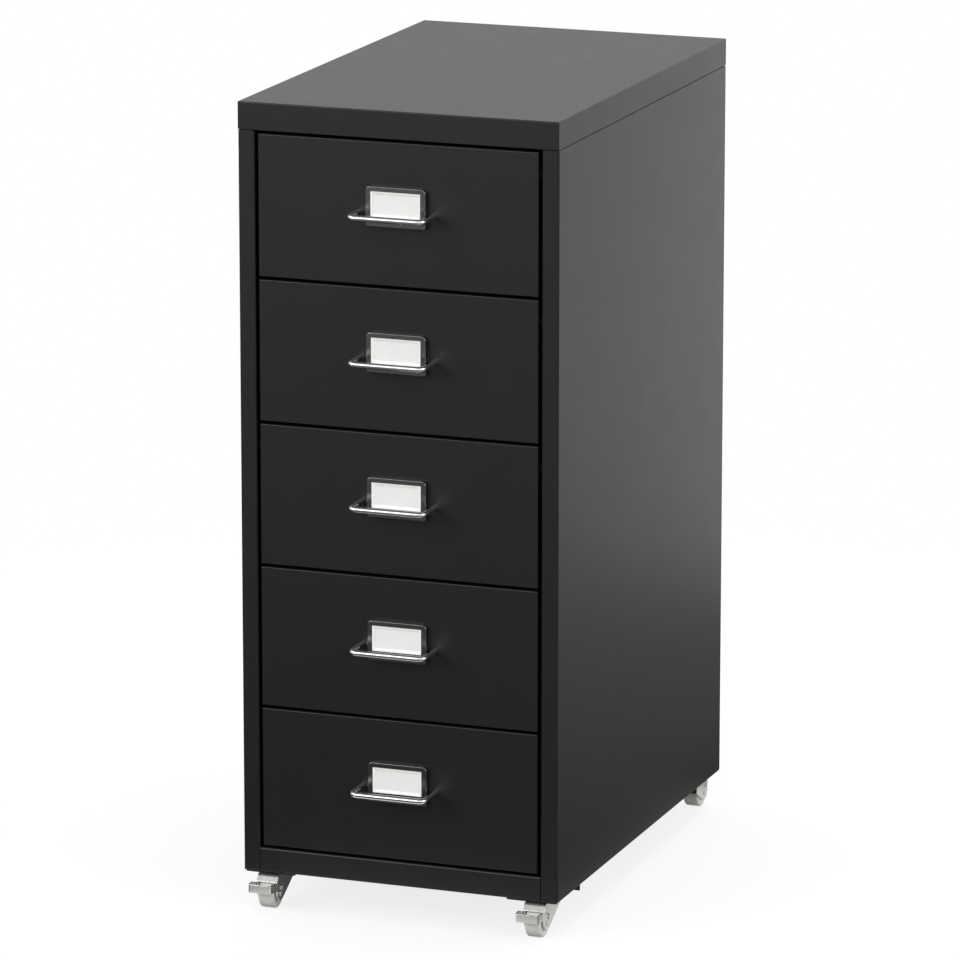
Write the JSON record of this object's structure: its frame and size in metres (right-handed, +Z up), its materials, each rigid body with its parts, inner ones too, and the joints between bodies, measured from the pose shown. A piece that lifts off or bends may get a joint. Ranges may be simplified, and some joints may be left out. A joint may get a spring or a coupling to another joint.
{
  "type": "drawer cabinet on castors",
  "caption": "Tall narrow sheet-metal cabinet with a column of equal drawers, each with a chrome rod pull and a label frame, standing on small twin-cheek swivel castors.",
  "frame": {"origin": "on the floor, at the middle of the whole object's width and depth, pulls and rear wheels included", "axes": "+Z up, -Y out of the drawer fronts, +X to the right of someone facing the fronts"},
  "size_m": [0.28, 0.464, 0.69],
  "materials": {
    "black_paint": "satin powder coat with a faint orange peel",
    "chrome": "bright chrome plate with light handling haze",
    "dark_nickel": "dark nickel plate, satin",
    "label_card": "blank matt card",
    "wheel_plastic": "moulded pale warm grey plastic",
    "zinc_steel": "dull zinc plate"
  },
  "bodies": {
    "casing": {"top_cover": "black_paint", "left_side_panel": "black_paint", "right_side_panel": "black_paint", "back_panel": "black_paint", "bottom_panel": "black_paint", "front_bottom_rail": "black_paint", "front_top_rail": "black_paint", "left_drawer_runners": "zinc_steel", "right_drawer_runners": "zinc_steel", "castor_brackets": "black_paint", "casing_screws": "zinc_steel", "castor_stems": "zinc_steel", "castor_stem_nuts": "zinc_steel"},
    "drawer_1": {"drawer_1_front": "black_paint", "drawer_1_tray": "black_paint", "drawer_1_pull": "chrome", "drawer_1_pull_screws": "zinc_steel", "drawer_1_label_frame": "dark_nickel", "drawer_1_label_card": "label_card"},
    "drawer_2": {"drawer_2_front": "black_paint", "drawer_2_tray": "black_paint", "drawer_2_pull": "chrome", "drawer_2_pull_screws": "zinc_steel", "drawer_2_label_frame": "dark_nickel", "drawer_2_label_card": "label_card"},
    "drawer_3": {"drawer_3_front": "black_paint", "drawer_3_tray": "black_paint", "drawer_3_pull": "chrome", "drawer_3_pull_screws": "zinc_steel", "drawer_3_label_frame": "dark_nickel", "drawer_3_label_card": "label_card"},
    "drawer_4": {"drawer_4_front": "black_paint", "drawer_4_tray": "black_paint", "drawer_4_pull": "chrome", "drawer_4_pull_screws": "zinc_steel", "drawer_4_label_frame": "dark_nickel", "drawer_4_label_card": "label_card"},
    "drawer_5": {"drawer_5_front": "black_paint", "drawer_5_tray": "black_paint", "drawer_5_pull": "chrome", "drawer_5_pull_screws": "zinc_steel", "drawer_5_label_frame": "dark_nickel", "drawer_5_label_card": "label_card"},
    "front_left_castor": {"front_left_castor_fork": "zinc_steel", "front_left_castor_axle": "zinc_steel", "front_left_castor_pedal_pins": "zinc_steel"},
    "front_left_wheel": {"front_left_castor_wheel": "wheel_plastic"},
    "front_left_brake_pedal": {"front_left_castor_brake_pedal": "zinc_steel"},
    "front_right_castor": {"front_right_castor_fork": "zinc_steel", "front_right_castor_axle": "zinc_steel", "front_right_castor_pedal_pins": "zinc_steel"},
    "front_right_wheel": {"front_right_castor_wheel": "wheel_plastic"},
    "front_right_brake_pedal": {"front_right_castor_brake_pedal": "zinc_steel"},
    "rear_left_castor": {"rear_left_castor_fork": "zinc_steel", "rear_left_castor_axle": "zinc_steel"},
    "rear_left_wheel": {"rear_left_castor_wheel": "wheel_plastic"},
    "rear_right_castor": {"rear_right_castor_fork": "zinc_steel", "rear_right_castor_axle": "zinc_steel"},
    "rear_right_wheel": {"rear_right_castor_wheel": "wheel_plastic"}
  },
  "joints": [
    {"name": "drawer_1_slide", "type": "slide", "parent": "casing", "child": "drawer_1", "axis": [0, -1, 0], "range_m": [0, 0.3]},
    {"name": "drawer_2_slide", "type": "slide", "parent": "casing", "child": "drawer_2", "axis": [0, -1, 0], "range_m": [0, 0.3]},
    {"name": "drawer_3_slide", "type": "slide", "parent": "casing", "child": "drawer_3", "axis": [0, -1, 0], "range_m": [0, 0.3]},
    {"name": "drawer_4_slide", "type": "slide", "parent": "casing", "child": "drawer_4", "axis": [0, -1, 0], "range_m": [0, 0.3]},
    {"name": "drawer_5_slide", "type": "slide", "parent": "casing", "child": "drawer_5", "axis": [0, -1, 0], "range_m": [0, 0.3]},
    {"name": "front_left_castor_swivel", "type": "hinge", "parent": "casing", "child": "front_left_castor", "pos_m": [-0.1195, -0.1725, 0], "axis": [0, 0, 1], "continuous": true},
    {"name": "front_left_wheel_roll", "type": "hinge", "parent": "front_left_castor", "child": "front_left_wheel", "pos_m": [-0.1195, -0.1935, 0.0125], "axis": [1, 0, 0], "continuous": true},
    {"name": "front_left_brake_pedal_press", "type": "hinge", "parent": "front_left_castor", "child": "front_left_brake_pedal", "pos_m": [-0.1195, -0.1945, 0.0184], "axis": [1, 0, 0], "range_deg": [0, 8]},
    {"name": "front_right_castor_swivel", "type": "hinge", "parent": "casing", "child": "front_right_castor", "pos_m": [0.1195, -0.1725, 0], "axis": [0, 0, 1], "continuous": true},
    {"name": "front_right_wheel_roll", "type": "hinge", "parent": "front_right_castor", "child": "front_right_wheel", "pos_m": [0.1195, -0.1935, 0.0125], "axis": [1, 0, 0], "continuous": true},
    {"name": "front_right_brake_pedal_press", "type": "hinge", "parent": "front_right_castor", "child": "front_right_brake_pedal", "pos_m": [0.1195, -0.1945, 0.0184], "axis": [1, 0, 0], "range_deg": [0, 8]},
    {"name": "rear_left_castor_swivel", "type": "hinge", "parent": "casing", "child": "rear_left_castor", "pos_m": [-0.1195, 0.1985, 0], "axis": [0, 0, 1], "continuous": true},
    {"name": "rear_left_wheel_roll", "type": "hinge", "parent": "rear_left_castor", "child": "rear_left_wheel", "pos_m": [-0.1195, 0.2195, 0.0125], "axis": [1, 0, 0], "continuous": true},
    {"name": "rear_right_castor_swivel", "type": "hinge", "parent": "casing", "child": "rear_right_castor", "pos_m": [0.1195, 0.1985, 0], "axis": [0, 0, 1], "continuous": true},
    {"name": "rear_right_wheel_roll", "type": "hinge", "parent": "rear_right_castor", "child": "rear_right_wheel", "pos_m": [0.1195, 0.2195, 0.0125], "axis": [1, 0, 0], "continuous": true}
  ]
}
